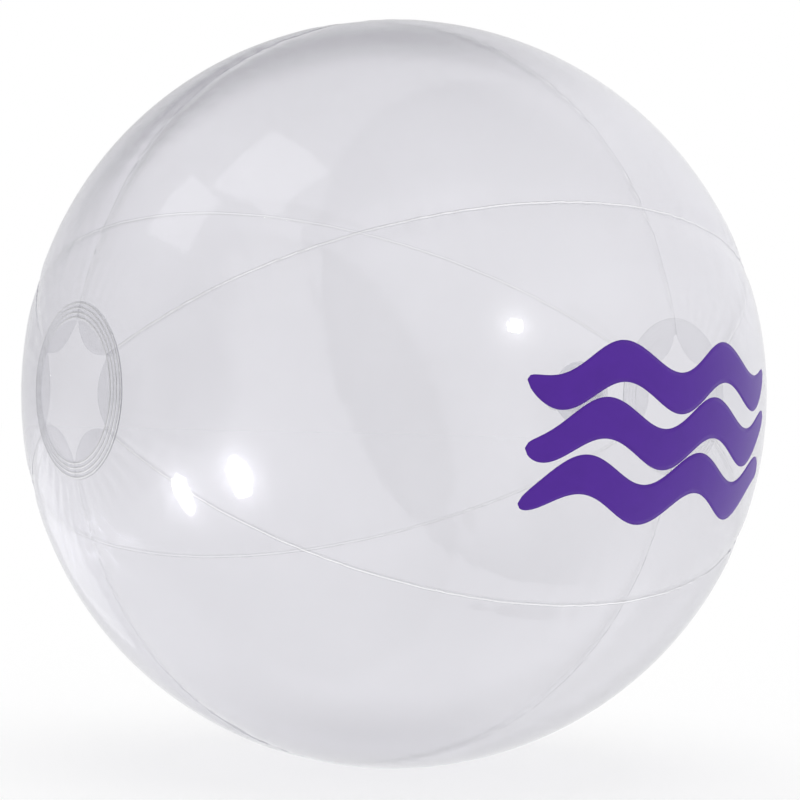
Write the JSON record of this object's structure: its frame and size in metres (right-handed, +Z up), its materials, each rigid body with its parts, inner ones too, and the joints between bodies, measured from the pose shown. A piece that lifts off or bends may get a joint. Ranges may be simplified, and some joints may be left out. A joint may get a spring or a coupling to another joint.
{
  "type": "inflatable beach ball",
  "caption": "Inflated round beach ball of clear vinyl gore panels with welded seams, ribbed round end caps and a push-in air valve with a tethered plug.",
  "frame": {"origin": "centre of the ball, in the middle of its bounding box", "axes": "+Z up as in the picture, with a seam at the top; +X along the ball's polar axis towards the valve end, so the pictured end cap faces -X; -Y is the front panel"},
  "size_m": [0.2748, 0.28, 0.2804],
  "materials": {
    "clear_film": "clear glossy vinyl film, faintly lavender-grey",
    "seam_weld": "clear vinyl pressed double at a heat weld",
    "cap_film": "clear glossy vinyl film with pressed weld rings",
    "valve_vinyl": "soft moulded clear vinyl"
  },
  "bodies": {
    "ball": {"gore_panel_1": "clear_film", "gore_panel_2": "clear_film", "gore_panel_3": "clear_film", "gore_panel_4": "clear_film", "gore_panel_5": "clear_film", "gore_panel_6": "clear_film", "seam_weld_1": "seam_weld", "seam_weld_2": "seam_weld", "seam_weld_3": "seam_weld", "seam_weld_4": "seam_weld", "seam_weld_5": "seam_weld", "seam_weld_6": "seam_weld", "plain_end_cap": "cap_film", "valve_end_cap": "cap_film", "valve_base": "valve_vinyl"},
    "stem": {"valve_stem": "valve_vinyl"},
    "plug": {"valve_plug": "valve_vinyl", "plug_strap": "valve_vinyl"},
    "flap": {"check_flap": "valve_vinyl"}
  },
  "joints": [
    {"name": "stem_pull", "type": "slide", "parent": "ball", "child": "stem", "axis": [0.9447, 0.3278, 0], "range_m": [0, 0.0095]},
    {"name": "plug_swing", "type": "hinge", "parent": "stem", "child": "plug", "pos_m": [0.12743, 0.06114, 0], "axis": [0, 0, 1], "range_deg": [0, 150]},
    {"name": "flap_swing", "type": "hinge", "parent": "stem", "child": "flap", "pos_m": [0.10707, 0.05058, 0], "axis": [0, 0, -1], "range_deg": [0, 70], "stiffness_Nm_per_rad": 0.0005}
  ]
}
